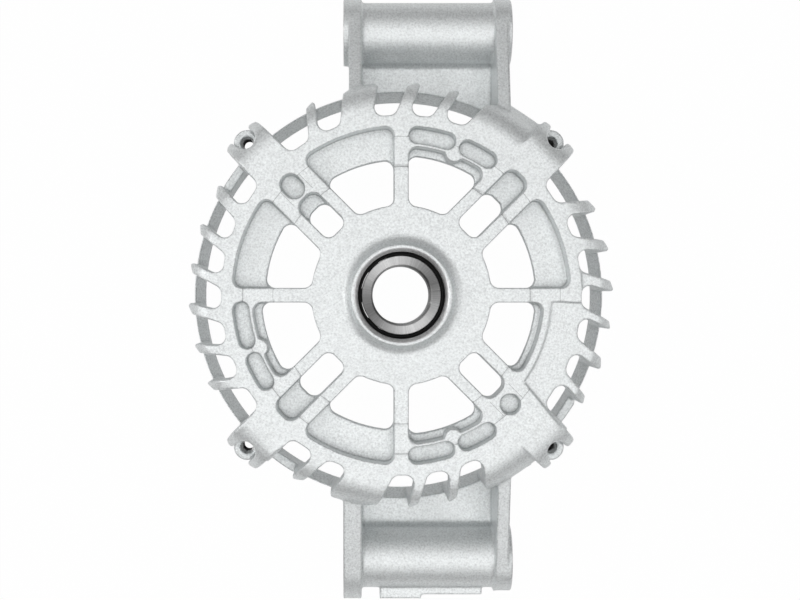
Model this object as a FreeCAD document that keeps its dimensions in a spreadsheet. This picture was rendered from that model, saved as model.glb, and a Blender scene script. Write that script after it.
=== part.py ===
import FreeCAD, Part
import math
import os
import re

import Sketcher

# Drive end bracket of an alternator with its bearing. Millimetres.
# +Z is the shaft axis, out of the hub face. z = 0 is the rear face that meets the stator.
# The two mounting lugs stand along +Y and -Y, and their bolt holes run along X.

SIZES = {
    # bracket, axial places
    "face_height": 38.0,
    "web_thickness": 10.0,
    "ring_height": 9.0,
    "raised_ring_height": 15.0,
    "core_depth": 7.0,
    "oval_depth": 6.0,
    "dimple_depth": 5.0,
    "panel_drop": 0.8,
    "step_drop": 0.25,
    "register_depth": 3.0,
    # bracket, radii about the shaft axis
    "shell_radius": 63.8,
    "shell_wall": 3.1,
    "register_wall": 2.0,
    "shoulder_radius": 8.5,
    "inner_corner": 3.0,
    "hub_wall": 6.5,
    "bearing_lip": 1.5,
    "lip_height": 3.5,
    "lip_gap": 1.2,
    "lip_wall": 2.1,
    "lip_chamfer": 1.0,
    "lip_fillet": 3.4,
    # spokes, pockets and slots
    "spoke_half": 2.15,
    "slot_half": 3.84,
    "bar_outer": 7.56,
    "slot_corner": 2.5,
    "slot_tip": 2.8,
    "corner_radius": 2.6,
    "rim_land": 3.3,
    "shelf_width": 9.55,
    "shelf_step": 1.3,
    "narrow_rim": 7.8,
    "oval_width": 4.9,
    "oval_rib": 1.0,
    "neck_radius": 2.6,
    "neck_offset": 0.7,
    "neck_gap": 1.7,
    "short_slot_rim": 9.3,
    "short_shelf": 4.5,
    "blind_gap": 0.9,
    "blind_inset": 0.6,
    "blind_half": 3.05,
    "dimple_radius": 3.0,
    "dimple_inset": 4.5,
    "panel_rim": 5.8,
    "step_inset": 2.5,
    "step_width": 8.9,
    # fins
    "fin_depth": 10.6,
    "notch_angle": 7.2,
    "wide_notch_angle": 9.3,
    "notch_corner": 2.6,
    "fin_lean": 25.0,
    "fin_lean_back": 19.0,
    "ear_side_lean": 7.3,
    "notch_overrun": 2.0,
    "fin_tip": 0.9,
    "fin_opening": 1.0,
    "sill_base": 3.5,
    "sill_edge": 0.4,
    "raised_ring_width": 2.5,
    # ears
    "bolt_overhang": 2.8,
    "ear_half": 6.4,
    "ear_overhang": 2.8,
    "ear_draft": 1.0,
    "horn_round": 2.0,
    "ear_slot_inset": 4.2,
    "ear_slot_half": 3.3,
    "ear_bend_inset": 3.6,
    "ear_round": 9.5,
    "ear_pad_height": 12.0,
    "ear_pad_radius": 4.3,
    "ear_bolt_radius": 2.1,
    "ear_top": 20.0,
    # lugs
    "lug_arm": 17.3,
    "lug_height": 14.0,
    "lug_radius": 9.2,
    "lug_bore": 5.25,
    "lug_boss": 10.2,
    "lug_long_boss": 12.6,
    "lug_left": -17.2,
    "lug_right": 34.3,
    "disc_stand": 1.7,
    "right_stand": 1.4,
    "plate_thickness": 3.9,
    "plate_top": 34.0,
    "plate_base": 3.0,
    "web_base": 4.0,
    "lug_web": 5.0,
    "web_fillet": 2.4,
    "web_sink": 0.3,
    "plate_fillet": 1.2,
    "boss_fillet": 0.9,
    "fillet_root": 0.5,
    "fillet_run": 0.3,
    "fillet_sink": 0.03,
    "land_height": 6.0,
    "gusset_height": 31.0,
    "gusset_low": 17.0,
    "gusset_inset": 2.8,
    "gusset_run": 4.5,
    "gusset_width": 9.0,
    "gusset_fillet": 4.0,
    "gusset_root": 1.0,
    "gusset_rise": 3.0,
    "gusset_turn": 2.0,
    # bearing
    "bearing_bore": 8.5,
    "bearing_radius": 20.0,
    "bearing_width": 12.0,
    "inner_shoulder_drop": 2.55,
    "outer_shoulder_rise": 3.15,
    "ball_radius": 3.37,
    "ball_count": 8,
    "race_clearance": 0.05,
    "groove_ratio": 1.04,
    "bearing_chamfer": 0.6,
    "seal_thickness": 0.9,
    "seal_recess": 0.5,
    "seal_seat": 0.8,
    "seal_clearance": 0.15,
    "cage_half_width": 1.25,
    "cage_sheet": 0.6,
    "cage_clearance": 0.12,
    "rivet_radius": 0.5,
    "rivet_head_radius": 0.8,
    "rivet_head_height": 0.3,
    # retainer
    "retainer_thickness": 2.5,
    "retainer_gap": 0.2,
    "retainer_overlap": 2.0,
    "retainer_lobe": 3.3,
    "screw_offset": 3.2,
    "screw_radius": 2.0,
    "screw_play": 0.05,
    "screw_depth": 8.0,
    "screw_spare": 0.5,
    "screw_head_radius": 3.2,
    "screw_head_height": 2.0,
    "socket_radius": 1.25,
}

# sizes that follow from the ones above, so that the parts still fit each other when one changes
DERIVED = {
    "hub_length": "bearing_width + bearing_lip",
    "hub_radius": "bearing_radius + hub_wall",
    "hub_base": "face_height - hub_length",
    "web_under": "face_height - web_thickness",
    "bearing_top": "hub_base + bearing_width",
    "bearing_middle": "hub_base + bearing_width / 2",
    "lip_top": "face_height + lip_height",
    "shell_bore": "shell_radius - shell_wall",
    "register_radius": "shell_radius - register_wall",
    "notch_root": "shell_radius - fin_depth",
    "core_radius": "notch_root - rim_land",
    "shelf_radius": "core_radius - shelf_width",
    "wide_shelf_radius": "shelf_radius + shelf_step",
    "narrow_core_radius": "core_radius - narrow_rim",
    "oval_inner": "core_radius - oval_width",
    "oval_wall_radius": "oval_inner - oval_rib",
    "neck_place": "oval_wall_radius + neck_offset",
    "short_slot_end": "core_radius - short_slot_rim",
    "short_window_end": "short_slot_end - short_shelf",
    "blind_start": "short_slot_end + blind_gap",
    "blind_end": "core_radius - blind_inset",
    "dimple_place": "core_radius - dimple_inset",
    "panel_inner": "core_radius - panel_rim",
    "step_inner": "shelf_radius - step_inset",
    "step_outer": "step_inner + step_width",
    "bolt_circle": "shell_radius + bolt_overhang",
    "ear_reach": "bolt_circle + ear_overhang",
    "ear_slot_start": "bolt_circle - ear_slot_inset",
    "ear_bend": "ear_reach - ear_bend_inset",
    "lug_offset": "shell_radius + lug_arm",
    "plate_left": "lug_left + disc_stand",
    "plate_right": "lug_right - right_stand",
    "web_top": "web_base + lug_web",
    "ball_circle": "(bearing_bore + bearing_radius) / 2",
    "inner_shoulder": "ball_circle - inner_shoulder_drop",
    "outer_shoulder": "ball_circle + outer_shoulder_rise",
    "seal_opening": "inner_shoulder + lip_gap",
    "lip_outer": "seal_opening + lip_wall",
    "cage_inner": "ball_circle - cage_half_width",
    "cage_outer": "ball_circle + cage_half_width",
    "retainer_hole": "outer_shoulder + retainer_gap",
    "retainer_radius": "bearing_radius + retainer_overlap",
    "screw_circle": "bearing_radius + screw_offset",
}

SPOKE_ANGLES = (0.0, 90.0, 180.0, 270.0)
EAR_ANGLES = (45.0, 135.0, 225.0, 315.0)
# cored windows: angle of the straight spoke, angle of the double bar, how the core ends at the rim
WINDOWS = (
    (0.0, 45.0, "plain"),
    (90.0, 45.0, "ovals"),
    (90.0, 135.0, "plain"),
    (180.0, 135.0, "plain"),
    (180.0, 225.0, "ovals"),
    (270.0, 225.0, "plain"),
    (270.0, 315.0, "ovals"),
    (360.0, 315.0, "narrow"),
)
# pair of blind ovals in front of an "ovals" window: angles of the spoke end, the neck and the bar end
OVALS = {
    (90.0, 45.0): (87.3, 69.5, 54.2),
    (180.0, 225.0): (182.3, 200.2, 215.5),
    (270.0, 315.0): (272.5, 290.1, 305.5),
}
# notches between the fins, by the angle of their centre at the root
NOTCHES = (
    22.6, 11.3, 0.3, -10.0, -21.3,
    73.2, 84.05, 95.6, 113.5,
    159.5, 170.5, 181.4, 192.6, 203.4,
    249.6, 271.2, 282.1, 292.9,
)
# notches with an ear on their counter-clockwise side, and wider ones with an ear on the other side
NOTCHES_BEFORE_EARS = (34.3, 124.4, 214.4)
NOTCHES_AFTER_EARS = (-32.8, 146.8, 237.2)
# lowered panel on the face: where its slanted edge meets the rim and its inner edge, where it steps
# out to the notch roots and where it ends
PANEL_ANGLES = (-40.5, -35.3, -2.3, 8.5)
# gusset from each lug to its ear: bend below the shell radius, distance and angle of its far end
GUSSETS = {"upper": (4.8, 68.0, 49.2), "lower": (8.4, 65.2, 52.2)}
# flat lands at the lower boss: start and end along the boss, how far they stand out of it
LANDS = ((-6.0, 6.7, 3.1), (6.7, 25.4, 1.9))

doc = FreeCAD.newDocument("bracket")
sheet = doc.addObject("Spreadsheet::Sheet", "sizes")
for row, (alias, size) in enumerate(SIZES.items(), start=1):
    sheet.set("A%d" % row, alias)
    sheet.set("B%d" % row, str(size))
    sheet.setAlias("B%d" % row, alias)
doc.recompute()


def cell(expression):
    """The expression with derived sizes written out and each alias as a reference to the sheet."""
    def reference(match):
        word = match.group()
        if word in DERIVED:
            return "(%s)" % cell(DERIVED[word])
        return "sizes." + word if word in SIZES else word
    return re.sub("[a-z][a-z_]*", reference, expression)


def value(expression):
    return float(sheet.evalExpression(cell(expression)))


def bind(target, name, expression):
    target.setExpression(name, cell(expression))


def polar(radius, angle):
    return (radius * math.cos(math.radians(angle)), radius * math.sin(math.radians(angle)))


def vector(point, height=0.0):
    return FreeCAD.Vector(point[0], point[1], height)


def make_body(name):
    body = doc.addObject("PartDesign::Body", name)
    body.Label = name
    return body


def make_sketch(body, name, role="XY_Plane", height=None):
    """An empty sketch on an origin plane, lifted along the plane's normal."""
    sketch = body.newObject("Sketcher::SketchObject", name)
    plane = next(f for f in body.Origin.OriginFeatures if f.Role == role)
    sketch.AttachmentSupport = [(plane, "")]
    sketch.MapMode = "FlatFace"
    if height is not None:
        bind(sketch, "AttachmentOffset.Base.z", height)
    return sketch


def line(start, end):
    return (Part.LineSegment(vector(start), vector(end)), 1, 2, None)


def arc(centre, radius, first, last, size=None, about_axis=False):
    """An arc from the first to the last angle in degrees; clockwise when last is less than first."""
    circle = Part.Circle(vector(centre), FreeCAD.Vector(0, 0, 1), radius)
    low, high = math.radians(min(first, last)), math.radians(max(first, last))
    ends = (1, 2) if last > first else (2, 1)
    return (Part.ArcOfCircle(circle, low, high), ends[0], ends[1], (size, about_axis))


def add_loop(sketch, elements):
    """Adds a closed loop; neighbours are joined and each named radius follows its cell."""
    first = sketch.GeometryCount
    sketch.addGeometry([element[0] for element in elements], False)
    joins, radii = [], []
    for index, (geometry, _, end, bound) in enumerate(elements):
        following = (index + 1) % len(elements)
        joins.append(Sketcher.Constraint(
            "Coincident", first + index, end, first + following, elements[following][1]))
        if bound and bound[1]:
            joins.append(Sketcher.Constraint("Coincident", first + index, 3, -1, 1))
        if bound and bound[0]:
            radii.append((Sketcher.Constraint("Radius", first + index, geometry.Radius), bound[0]))
    sketch.addConstraint(joins)
    for constraint, size in radii:
        place = sketch.addConstraint(constraint)
        sketch.setExpression("Constraints[%d]" % place, cell(size))


def add_circle(sketch, centre, size):
    index = sketch.addGeometry(
        Part.Circle(vector(centre), FreeCAD.Vector(0, 0, 1), value(size)), False)
    place = sketch.addConstraint(Sketcher.Constraint("Radius", index, value(size)))
    sketch.setExpression("Constraints[%d]" % place, cell(size))


def rounded(points):
    """A loop through corners given as (x, y, radius or None)."""
    corners = []
    count = len(points)
    for index, (x, y, size) in enumerate(points):
        here = FreeCAD.Vector(x, y, 0)
        if size is None:
            corners.append((here, here, None))
            continue
        radius = value(size)
        before = FreeCAD.Vector(points[index - 1][0], points[index - 1][1], 0) - here
        after = FreeCAD.Vector(points[(index + 1) % count][0], points[(index + 1) % count][1], 0) - here
        before.normalize()
        after.normalize()
        half = before.getAngle(after) / 2
        reach = radius / math.tan(half)
        inward = before + after
        inward.normalize()
        centre = here + inward * (radius / math.sin(half))
        start, end = here + before * reach, here + after * reach
        first = math.degrees(math.atan2(start.y - centre.y, start.x - centre.x))
        last = math.degrees(math.atan2(end.y - centre.y, end.x - centre.x))
        turn = (last - first + 180.0) % 360.0 - 180.0
        corners.append((start, end, arc((centre.x, centre.y), radius, first, first + turn, size)))
    elements = []
    for index, (start, end, corner) in enumerate(corners):
        if corner:
            elements.append(corner)
        following = corners[(index + 1) % count][0]
        elements.append(line((end.x, end.y), (following.x, following.y)))
    return elements


def sector(low_angle, low_half, high_angle, high_half, inner, outer, corner, inner_corner=None):
    """A window between two spokes: straight sides, arcs about the axis and rounded corners."""
    inner_corner = inner_corner or corner
    inner_radius, outer_radius = value(inner), value(outer)

    def corner_centre(angle, offset, distance):
        along = math.sqrt(distance ** 2 - offset ** 2)
        cos, sin = math.cos(math.radians(angle)), math.sin(math.radians(angle))
        return (along * cos - offset * sin, along * sin + offset * cos)

    def foot(angle, centre, offset):
        cos, sin = math.cos(math.radians(angle)), math.sin(math.radians(angle))
        along = centre[0] * cos + centre[1] * sin
        return (along * cos - offset * sin, along * sin + offset * cos)

    low, high = value(low_half), value(high_half)
    big, small = value(corner), value(inner_corner)
    centres = (
        corner_centre(low_angle, low + big, outer_radius - big),
        corner_centre(high_angle, -high - big, outer_radius - big),
        corner_centre(high_angle, -high - small, inner_radius + small),
        corner_centre(low_angle, low + small, inner_radius + small),
    )
    bearing_angles = [math.degrees(math.atan2(c[1], c[0])) for c in centres]
    bearing_angles = [a + 360.0 * round((low_angle + high_angle - 2 * a) / 720.0) for a in bearing_angles]
    elements = [
        arc((0, 0), outer_radius, bearing_angles[0], bearing_angles[1], outer, True),
        arc(centres[1], big, bearing_angles[1], high_angle + 90.0, corner),
        line(foot(high_angle, centres[1], -high), foot(high_angle, centres[2], -high)),
        arc(centres[2], small, high_angle + 90.0, bearing_angles[2] + 180.0, inner_corner),
        arc((0, 0), inner_radius, bearing_angles[2], bearing_angles[3], inner, True),
        arc(centres[3], small, bearing_angles[3] + 180.0, low_angle + 270.0, inner_corner),
        line(foot(low_angle, centres[3], low), foot(low_angle, centres[0], low)),
        arc(centres[0], big, low_angle + 270.0, bearing_angles[0] + 360.0, corner),
    ]
    return elements


def curved_slot(first, last, inner, outer):
    """A slot bent about the axis with full round ends."""
    inner_radius, outer_radius = value(inner), value(outer)
    half = (outer_radius - inner_radius) / 2
    middle = (outer_radius + inner_radius) / 2
    inset = math.degrees(half / middle)
    low, high = min(first, last) + inset, max(first, last) - inset
    return [
        arc((0, 0), outer_radius, low, high, outer, True),
        arc(polar(middle, high), half, high, high + 180.0),
        arc((0, 0), inner_radius, high, low, inner, True),
        arc(polar(middle, low), half, low + 180.0, low + 360.0),
    ]


def turned(point, angle):
    cos, sin = math.cos(math.radians(angle)), math.sin(math.radians(angle))
    return (point[0] * cos - point[1] * sin, point[0] * sin + point[1] * cos)


def radial_slot(angle, half_size, inner, outer, corner, tip):
    """A slot out from the hub: an arc about the axis inside, a straight end with rounded corners
    outside."""
    half, inner_radius, small = value(half_size), value(inner), value(corner)
    turn = value(tip)
    end = value(outer) - turn
    along = math.sqrt((inner_radius + small) ** 2 - (half - small) ** 2)
    spread = math.degrees(math.atan2(half - small, along))
    upper, lower = turned((along, half - small), angle), turned((along, small - half), angle)
    return [
        arc(turned((end, turn - half), angle), turn, angle - 90.0, angle, tip),
        line(turned((end + turn, turn - half), angle), turned((end + turn, half - turn), angle)),
        arc(turned((end, half - turn), angle), turn, angle, angle + 90.0, tip),
        line(turned((end, half), angle), turned((along, half), angle)),
        arc(upper, small, angle + 90.0, angle + 180.0 + spread, corner),
        arc((0, 0), inner_radius, angle + spread, angle - spread, inner, True),
        arc(lower, small, angle + 180.0 - spread, angle + 270.0, corner),
        line(turned((along, -half), angle), turned((end, -half), angle)),
    ]


def straight_slot(angle, half_size, inner, outer):
    """A radial slot with two full round ends."""
    half = value(half_size)
    start, end = value(inner) + half, value(outer) - half
    return [
        arc(turned((end, 0), angle), half, angle - 90.0, angle + 90.0, half_size),
        line(turned((end, half), angle), turned((start, half), angle)),
        arc(turned((start, 0), angle), half, angle + 90.0, angle + 270.0, half_size),
        line(turned((start, -half), angle), turned((end, -half), angle)),
    ]


def pocket(body, sketch, name, depth):
    feature = body.newObject("PartDesign::Pocket", name)
    feature.Profile = sketch
    feature.Refine = False
    bind(feature, "Length", depth)
    body.Tip = feature
    return feature


def pad(body, sketch, name, length):
    feature = body.newObject("PartDesign::Pad", name)
    feature.Profile = sketch
    feature.Refine = False
    bind(feature, "Length", length)
    body.Tip = feature
    return feature


def section_sketch(body, name, points):
    sketch = make_sketch(body, name, "XZ_Plane")
    section_loop(sketch, points)
    return sketch


def section_loop(sketch, points):
    """A closed section in X and Z. Points are (x, z) expressions, or (x, z, radius) for a corner
    that an arc rounds. The places of the sharp corners are bound."""
    corners = [(value(p[0]), value(p[1]), p[2] if len(p) > 2 else None) for p in points]
    elements = rounded(corners)
    first = sketch.GeometryCount
    add_loop(sketch, elements)
    index = first
    for point in points:
        if len(point) > 2:
            index += 1
        else:
            for kind, expression in (("DistanceX", point[0]), ("DistanceY", point[1])):
                size = value(expression)
                if abs(size) < 1e-9:
                    continue
                place = sketch.addConstraint(Sketcher.Constraint(kind, -1, 1, index, 1, size))
                sketch.setExpression("Constraints[%d]" % place, cell(expression))
        index += 1


def revolve(body, sketch, name):
    feature = body.newObject("PartDesign::Revolution", name)
    feature.Profile = sketch
    feature.ReferenceAxis = (sketch, ["V_Axis"])
    feature.Angle = 360.0
    body.Tip = feature
    return feature


def free_sketch(name, plane, offset=None, turn=0.0):
    """An empty sketch on a coordinate plane: XY lifted by the offset, YZ moved along X, or XZ turned
    about the shaft axis."""
    sketch = doc.addObject("Sketcher::SketchObject", name)
    rotations = {
        "XY": FreeCAD.Rotation(),
        "XZ": FreeCAD.Rotation(FreeCAD.Vector(0, 0, 1), turn) * FreeCAD.Rotation(FreeCAD.Vector(1, 0, 0), 90),
        "YZ": FreeCAD.Rotation(FreeCAD.Vector(1, 1, 1), 120),
    }
    sketch.Placement = FreeCAD.Placement(FreeCAD.Vector(0, 0, 0), rotations[plane])
    if offset:
        bind(sketch, "Placement.Base." + ("x" if plane == "YZ" else "z"), offset)
    return sketch


def extrude(name, sketch, length):
    item = doc.addObject("Part::Extrusion", name)
    item.Base = sketch
    item.DirMode = "Normal"
    item.Solid = True
    bind(item, "LengthFwd", length)
    return item


def prism(name, outline, base, length):
    """An upright prism on an outline, from a base height."""
    sketch = free_sketch(name + "_outline", "XY", base)
    add_loop(sketch, outline)
    return extrude(name, sketch, length)


def add_cylinder(name, place, radius, base, length):
    item = doc.addObject("Part::Cylinder", name)
    bind(item, "Radius", radius)
    bind(item, "Height", length)
    item.Placement.Base = FreeCAD.Vector(place[0], place[1], 0)
    bind(item, "Placement.Base.z", base)
    return item


def add_sphere(name, angle, radius):
    item = doc.addObject("Part::Sphere", name)
    bind(item, "Radius", radius)
    bind(item, "Placement.Base.x", "ball_circle * cos(%s)" % angle)
    bind(item, "Placement.Base.y", "ball_circle * sin(%s)" % angle)
    bind(item, "Placement.Base.z", "bearing_middle")
    return item


def cut(name, base, tool):
    item = doc.addObject("Part::Cut", name)
    item.Base = base
    item.Tool = tool
    return item


def fuse(name, shapes):
    item = doc.addObject("Part::MultiFuse", name)
    item.Shapes = shapes
    return item


def common(name, shapes):
    item = doc.addObject("Part::MultiCommon", name)
    item.Shapes = shapes
    return item


def group(name, shapes):
    item = doc.addObject("Part::Compound", name)
    item.Links = shapes
    item.Label = name
    return item


def make_bracket():
    """The casting: the notched shell gains its ears and lugs, then all that is cored or machined away
    is cut."""
    shell = cut("notched_shell", make_shell(), make_notches())
    blank = fuse("casting_blank", [fuse("shell_with_ears", [shell] + make_ears())] + make_lugs())
    spaces = [make_cavity()] + make_windows() + make_face_details() + make_holes()
    bracket = cut("casting", blank, fuse("casting_spaces", spaces))
    bracket.Label = "drive_end_bracket"
    return bracket


def turn_section(name, points, plane="XZ", origin=(0.0, 0.0, 0.0), axis=(0.0, 0.0, 1.0)):
    """A full turn of a bound section, about the shaft axis unless another axis is given."""
    sketch = free_sketch(name + "_section", plane)
    if plane == "XZ":
        section_loop(sketch, points)
    else:
        add_loop(sketch, points)
    item = doc.addObject("Part::Revolution", name)
    item.Source = sketch
    item.Base = FreeCAD.Vector(*origin)
    item.Axis = FreeCAD.Vector(*axis)
    item.Angle = 360.0
    item.Solid = True
    return item


def make_shell():
    """Hub with its lip, front web and rear ring, turned about the shaft axis."""
    return turn_section("shell", [
        ("bearing_radius", "hub_base"),
        ("hub_radius", "hub_base"),
        ("hub_radius", "web_under", "inner_corner / 2"),
        ("shell_bore", "web_under", "inner_corner"),
        ("shell_bore", "register_depth"),
        ("register_radius", "register_depth"),
        ("register_radius", "0"),
        ("shell_radius", "0"),
        ("shell_radius", "face_height", "shoulder_radius"),
        ("lip_outer", "face_height", "lip_fillet"),
        ("lip_outer", "lip_top"),
        ("seal_opening + lip_chamfer", "lip_top"),
        ("seal_opening", "lip_top - lip_chamfer"),
        ("seal_opening", "bearing_top"),
        ("bearing_radius", "bearing_top"),
    ])


def make_cavity():
    """The rotor and stator space, turned clear after the ears and lugs are added."""
    return turn_section("cavity", [
        ("0", "0 - 1"),
        ("register_radius", "0 - 1"),
        ("register_radius", "register_depth"),
        ("shell_bore", "register_depth"),
        ("shell_bore", "web_under", "inner_corner"),
        ("hub_radius", "web_under", "inner_corner / 2"),
        ("hub_radius", "hub_base"),
        ("0", "hub_base"),
    ])


def notch_outline(low, high, reach):
    """Outline of a notch. Each side is given by its angle at the root, the angle it runs out at and how
    far it opens at the tip of the fin beside it."""
    root, knee = value("notch_root"), value("fin_depth - fin_tip")
    sides = []
    for (angle, direction, opening), away in ((low, -90.0), (high, 90.0)):
        start = polar(root, angle)
        run, aside = polar(1.0, direction), polar(opening, direction + away)
        side = [start + ("notch_corner",)]
        if opening and reach > knee:
            side.append((start[0] + knee * run[0], start[1] + knee * run[1], None))
        beyond = max(reach - knee, 0.0)
        side.append((start[0] + reach * run[0] + beyond * aside[0],
                     start[1] + reach * run[1] + beyond * aside[1], None))
        sides.append(side)
    return rounded(sides[0] + sides[1][::-1])


def make_notches():
    """Open notches through the front rim leave the leaning cooling fins between them. They end on a
    sill that slopes out over the rear ring, and after an ear the ring stands higher."""
    lean, lean_back, ear_lean = value("fin_lean"), value("fin_lean_back"), value("ear_side_lean")
    half, wide_half = value("notch_angle") / 2, value("wide_notch_angle") / 2
    through = value("fin_depth + notch_overrun")
    short, opening = value("fin_depth - raised_ring_width"), value("fin_opening")
    plans = []
    for angle in NOTCHES + NOTCHES_BEFORE_EARS:
        low, high = angle - half, angle + half
        side = (high, high - lean_back, opening)
        if angle in NOTCHES_BEFORE_EARS:
            side = (high, high + ear_lean, 0.0)
        plans.append(((low, low - lean, opening), side, through, "sill_base"))
    for angle in NOTCHES_AFTER_EARS:
        low, high = angle - wide_half, angle + wide_half
        sides = (low, low - ear_lean, 0.0), (high, high - lean_back, opening)
        plans.append(sides + (through, "raised_ring_height"))
        plans.append(sides + (short, "sill_base"))
    notches = [prism("notch_%d" % number, notch_outline(low, high, reach), base,
                     "face_height - %s + 1" % base)
               for number, (low, high, reach, base) in enumerate(plans, start=1)]
    sill = turn_section("sill", [
        ("shell_bore - sill_edge", "sill_base - sill_edge"),
        ("shell_radius + 2 * notch_overrun", "sill_base - sill_edge"),
        ("shell_radius + 2 * notch_overrun", "ring_height"),
        ("shell_radius - sill_edge", "ring_height"),
    ])
    return cut("notches", fuse("open_notches", notches), sill)


def make_ears():
    """Four ears for the through bolts: a tongue bent back over the shell and a bolt pad below it."""
    reach, bore, top = value("ear_reach"), value("shell_bore"), value("face_height")
    half, pad_half, centre = value("ear_half"), value("ear_pad_radius"), value("bolt_circle")
    foot, under = value("ear_pad_height") / 2, value("web_under")
    inner = value("notch_root - notch_corner")
    pieces = []
    for number, angle in enumerate(EAR_ANGLES, start=1):
        section = free_sketch("tongue_section_%d" % number, "XZ", turn=angle)
        add_loop(section, rounded([
            (bore, foot, None),
            (reach - value("ear_draft"), foot, None),
            (reach, value("ear_top"), None),
            (value("ear_bend"), top, "ear_round"),
            (inner, top, None),
            (inner, under, None),
            (bore, under, None),
        ]))
        bent = extrude("tongue_side_%d" % number, section, "2 * ear_half")
        bent.Symmetric = True
        corners = [(inner, -half, None), (reach, -half, "horn_round"),
                   (reach, half, "horn_round"), (inner, half, None)]
        plan = rounded([turned((x, y), angle) + (size,) for x, y, size in corners])
        front = prism("tongue_front_%d" % number, plan, "0", "face_height")
        outline = [
            arc(polar(centre, angle), pad_half, angle - 90.0, angle + 90.0, "ear_pad_radius"),
            line(turned((centre, pad_half), angle), turned((bore, pad_half), angle)),
            line(turned((bore, pad_half), angle), turned((bore, -pad_half), angle)),
            line(turned((bore, -pad_half), angle), turned((centre, -pad_half), angle)),
        ]
        pieces += [common("tongue_%d" % number, [bent, front]),
                   prism("bolt_pad_%d" % number, outline, "0", "ear_pad_height")]
    return pieces


def plate_foot(edge):
    """Where a plate at this distance along the boss starts, just inside the shell."""
    return math.sqrt(value("shell_bore") ** 2 - edge ** 2) - value("shell_wall") / 2


def lug_outline(side, boss, edge):
    """Plate section: a foot in the shell and straight flanks tangent to the round boss."""
    centre = (value("lug_offset") * side, value("lug_height"))
    radius = value(boss)
    inner = plate_foot(edge) * side
    corners = []
    for height, turn in ((value("plate_top"), 1), (value("plate_base"), -1)):
        gap = (inner - centre[0], height - centre[1])
        swing = math.acos(radius / math.hypot(gap[0], gap[1]))
        corners.append(((inner, height), math.degrees(math.atan2(gap[1], gap[0]) - side * turn * swing)))
    (high, high_angle), (low, low_angle) = corners
    span = (low_angle - high_angle) % 360.0
    if side > 0:
        span -= 360.0
    high_touch, low_touch = polar(radius, high_angle), polar(radius, high_angle + span)
    return [
        line(high, (centre[0] + high_touch[0], centre[1] + high_touch[1])),
        arc(centre, radius, high_angle, high_angle + span, boss),
        line((centre[0] + low_touch[0], centre[1] + low_touch[1]), low),
        line(low, high),
    ]


def side_piece(name, outline, start, length):
    """A prism along X on an outline in Y and Z."""
    sketch = free_sketch(name + "_outline", "YZ", start)
    add_loop(sketch, outline)
    return extrude(name, sketch, length)


def side_rod(name, side, radius, start, length):
    sketch = free_sketch(name + "_outline", "YZ", start)
    add_circle(sketch, (value("lug_offset") * side, value("lug_height")), radius)
    return extrude(name, sketch, length)


def fillet_section(face, turn, level, size):
    """Section of a rounded inner corner between an upright face and a level one, rooted in both."""
    root, run, sink = value("fillet_root"), value("fillet_run"), value("fillet_sink")
    reach = value(size) + run
    face, level = face - turn * sink, level - sink
    return rounded([
        (face - turn * root, level - root, None), (face + turn * reach, level - root, None),
        (face + turn * reach, level, None), (face, level, size),
        (face, level + reach, None), (face - turn * root, level + reach, None),
    ])


def make_lug_fillets(name, side, left_face, right_face):
    """Rounded corners where the boss and the web meet the side plates."""
    pieces = []
    offset = value("lug_offset") * side
    foot = value("shell_radius")
    for place, face, turn in (("left", left_face, 1), ("right", right_face, -1)):
        around = fillet_section(face, turn, offset + value("lug_radius"), "boss_fillet")
        pieces.append(turn_section("%s_%s_boss_fillet" % (name, place), around, "XY",
                                   (0.0, offset, 0.0), (1.0, 0.0, 0.0)))
        bind(doc.getObject("%s_%s_boss_fillet_section" % (name, place)), "Placement.Base.z", "lug_height")
        bind(pieces[-1], "Base.z", "lug_height")
        sketch = free_sketch("%s_%s_plate_fillet_section" % (name, place), "XZ")
        add_loop(sketch, fillet_section(face, turn, value("web_top"), "plate_fillet"))
        sketch.Placement.Base = FreeCAD.Vector(0, max(offset, -foot), 0)
        pieces.append(extrude("%s_%s_plate_fillet" % (name, place), sketch, "lug_offset - shell_radius"))
    return pieces


def make_gusset(name, side):
    """A sloping rib that runs from the right plate along the shell to the ear beside it."""
    drop, distance, angle = GUSSETS[name]
    edge, bend, width = value("plate_right"), value("shell_radius") - drop, value("gusset_width")
    top = bend + value("gusset_rise")
    end, back = polar(distance, angle), polar(distance - width, angle - value("gusset_turn"))
    corners = [
        (edge - value("gusset_root"), top, None),
        (edge, top, None),
        (edge, bend, "gusset_fillet"),
        end + (None,),
        back + (None,),
        (edge - width / 2, bend - width, None),
    ]
    outline = rounded([(x, y * side, size) for x, y, size in corners])
    plan = prism(name + "_gusset_plan", outline, "web_base", "gusset_height - web_base")
    slope = turn_section(name + "_gusset_slope", [
        ("0", "web_base"),
        ("shell_radius + gusset_run", "web_base"),
        ("shell_radius + gusset_run", "gusset_low"),
        ("shell_radius - gusset_inset", "gusset_height"),
        ("0", "gusset_height"),
    ])
    return common(name + "_gusset", [plan, slope])


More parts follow.
